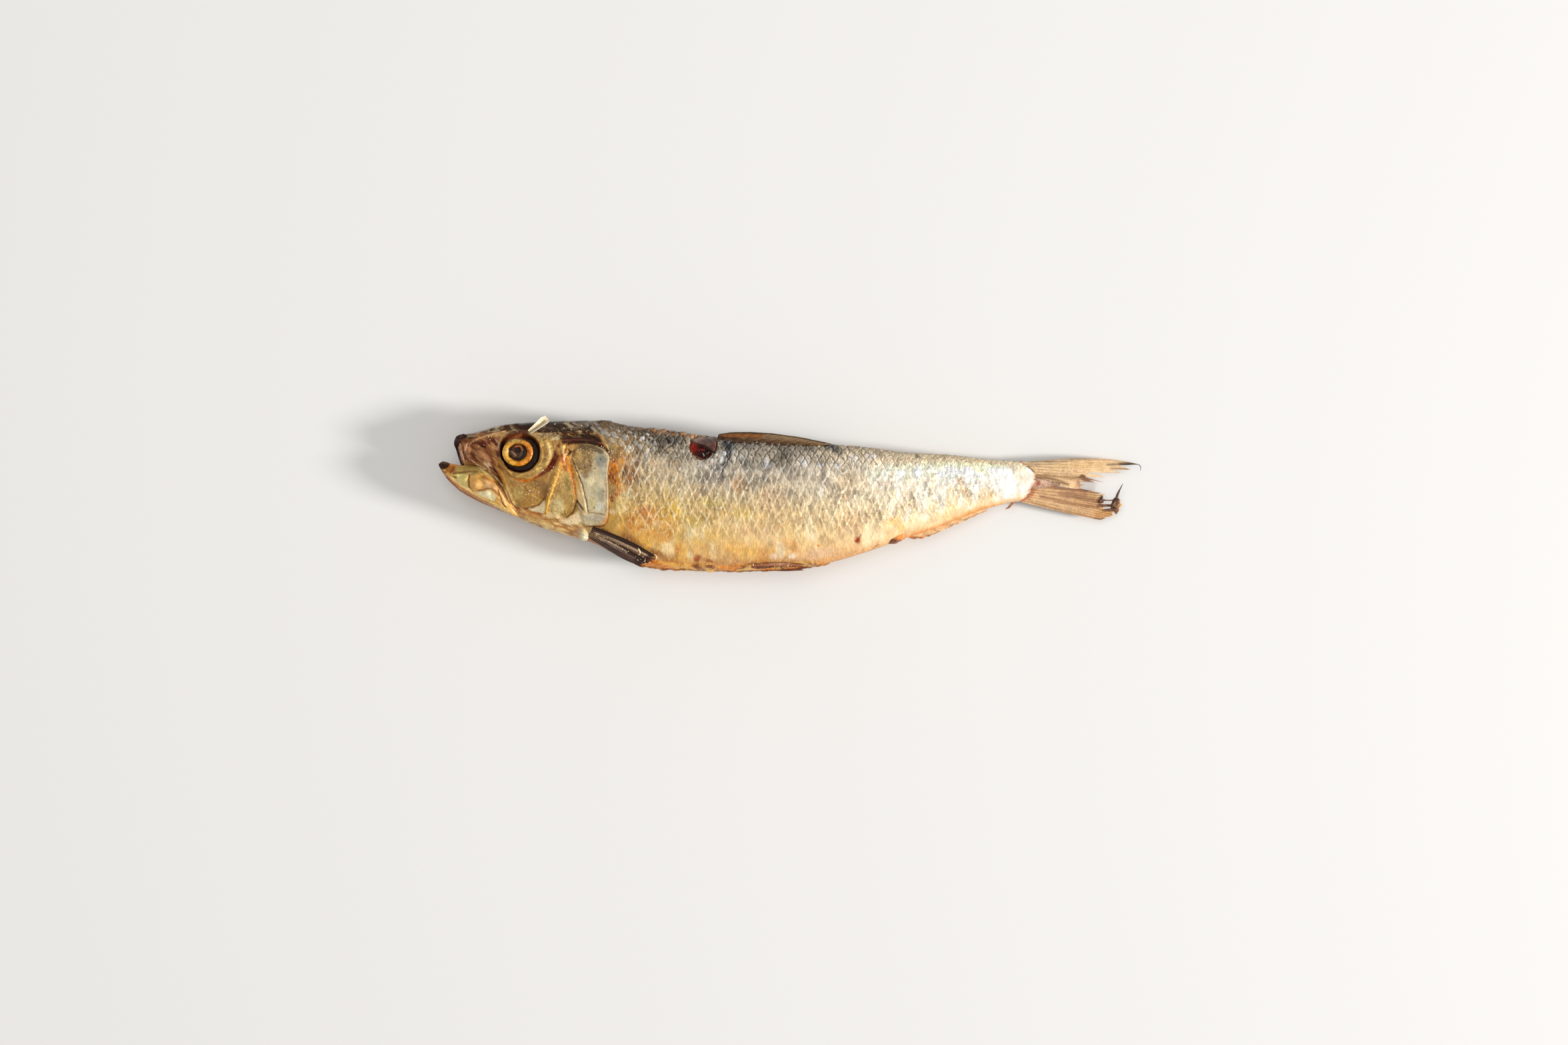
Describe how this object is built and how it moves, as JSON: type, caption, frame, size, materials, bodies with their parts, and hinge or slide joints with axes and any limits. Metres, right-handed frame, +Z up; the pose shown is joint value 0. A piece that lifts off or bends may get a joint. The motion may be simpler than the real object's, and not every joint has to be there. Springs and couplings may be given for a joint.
{
  "type": "smoked fish",
  "caption": "Whole smoked herring lying on its right side, jaws open, with scaled silver and golden skin, folded fins, a ragged forked tail and a curled dry membrane on its nape.",
  "frame": {"origin": "centre of the object's box, on the surface it lies on", "axes": "+X from the jaw to the tail, +Y from the belly to the back, +Z up, out of the fish's left side"},
  "size_m": [0.22, 0.0488, 0.0208],
  "materials": {
    "skin": "oily satin, silver scales over golden smoked skin",
    "membrane": "dry translucent satin"
  },
  "bodies": {
    "root": {"fish": "skin", "membrane": "membrane"}
  },
  "joints": []
}
